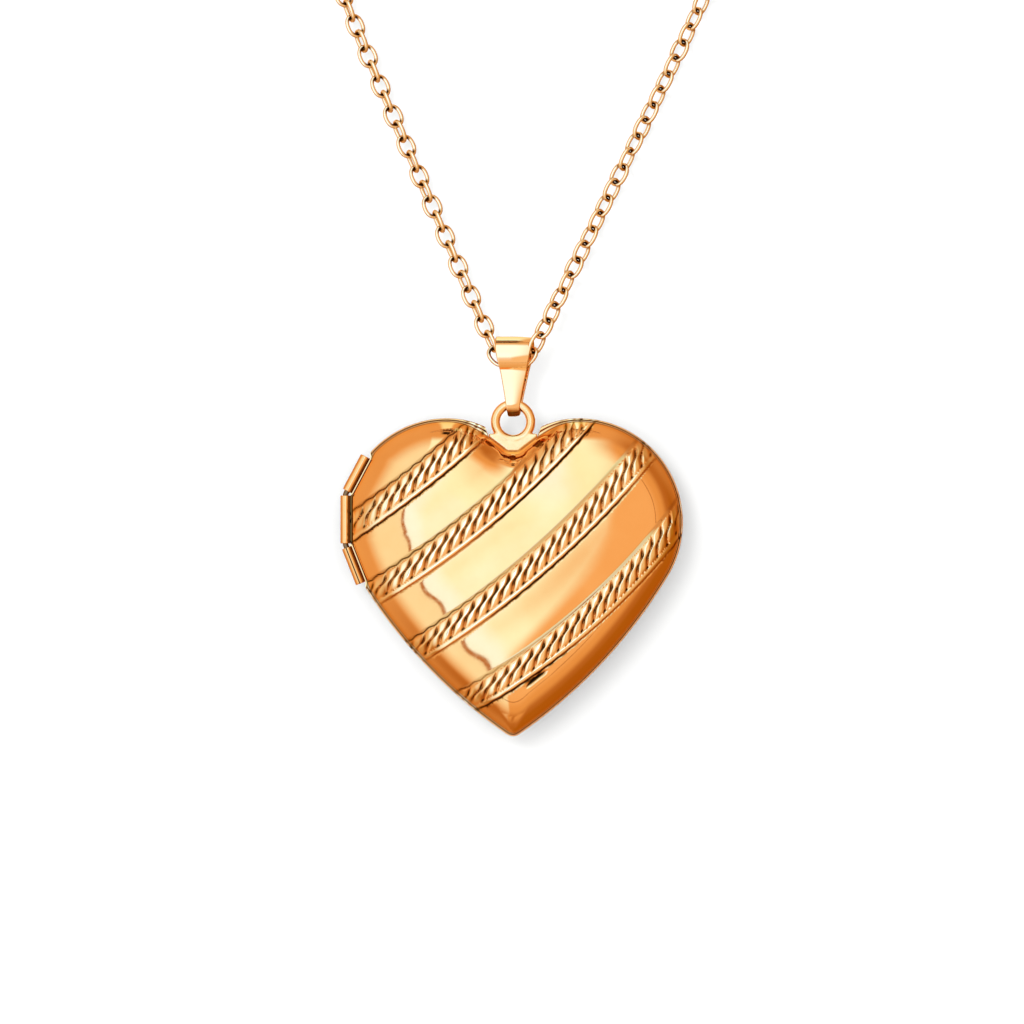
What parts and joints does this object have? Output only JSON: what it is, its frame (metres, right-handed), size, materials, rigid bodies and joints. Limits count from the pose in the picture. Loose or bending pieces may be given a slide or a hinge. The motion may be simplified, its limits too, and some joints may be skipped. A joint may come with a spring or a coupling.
{
  "type": "heart locket",
  "caption": "Hinged heart locket with rope-twist stripes, two picture frames inside, a folded bail and a cable chain with a lobster clasp.",
  "frame": {"origin": "on the flat land of the back cover, on the heart's centre line, where the locket rests on a table", "axes": "+Z out of the front cover, +Y from the heart's tip towards the bail, +X away from the hinge"},
  "size_m": [0.0368, 0.0956, 0.0064],
  "materials": {
    "rose_gold": "mirror-polished rose gold plating",
    "chain_gold": "polished rose gold plating",
    "lining_brass": "satin rolled sheet",
    "spring_steel": "drawn wire",
    "clear_window": "clear acetate sheet",
    "photo_card": "plain matt card"
  },
  "bodies": {
    "chain": {"chain_left_strand": "chain_gold", "chain_right_strand": "chain_gold", "chain_coil": "chain_gold", "clasp_body": "chain_gold", "clasp_pin": "spring_steel", "clasp_spring": "spring_steel", "clasp_jump_ring": "chain_gold", "end_ring": "chain_gold", "end_jump_ring": "chain_gold"},
    "bail": {"bail": "rose_gold"},
    "rear_half": {"back_cover": "rose_gold", "back_snap_rim": "rose_gold", "back_lining_plate": "lining_brass", "back_photo_card": "photo_card", "back_window": "clear_window", "back_photo_frame": "rose_gold", "hinge_knuckle_upper": "rose_gold", "hinge_knuckle_lower": "rose_gold", "hinge_pin": "spring_steel", "eyelet": "rose_gold"},
    "front_half": {"front_cover": "rose_gold", "front_lining_plate": "lining_brass", "front_photo_card": "photo_card", "front_window": "clear_window", "front_photo_frame": "rose_gold", "hinge_knuckle_middle": "rose_gold"},
    "trigger": {"clasp_trigger": "chain_gold"}
  },
  "joints": [
    {"name": "bail_swing", "type": "hinge", "parent": "chain", "child": "bail", "pos_m": [0, 0.01785, 0.00175], "axis": [-1, 0, 0], "range_deg": [0, 55]},
    {"name": "locket_swing", "type": "hinge", "parent": "bail", "child": "rear_half", "pos_m": [0, 0.01366, 0.0023], "axis": [-1, 0, 0], "range_deg": [0, 85]},
    {"name": "lid_hinge", "type": "hinge", "parent": "rear_half", "child": "front_half", "pos_m": [-0.01465, 0.00355, 0.0027], "axis": [0, -1, 0], "range_deg": [0, 165]},
    {"name": "clasp_gate", "type": "hinge", "parent": "chain", "child": "trigger", "pos_m": [-0.00065, 0.06585, 0.001], "axis": [0, 0, 1], "range_deg": [0, 28], "stiffness_Nm_per_rad": 0.0002, "springref_deg": -17.19}
  ]
}
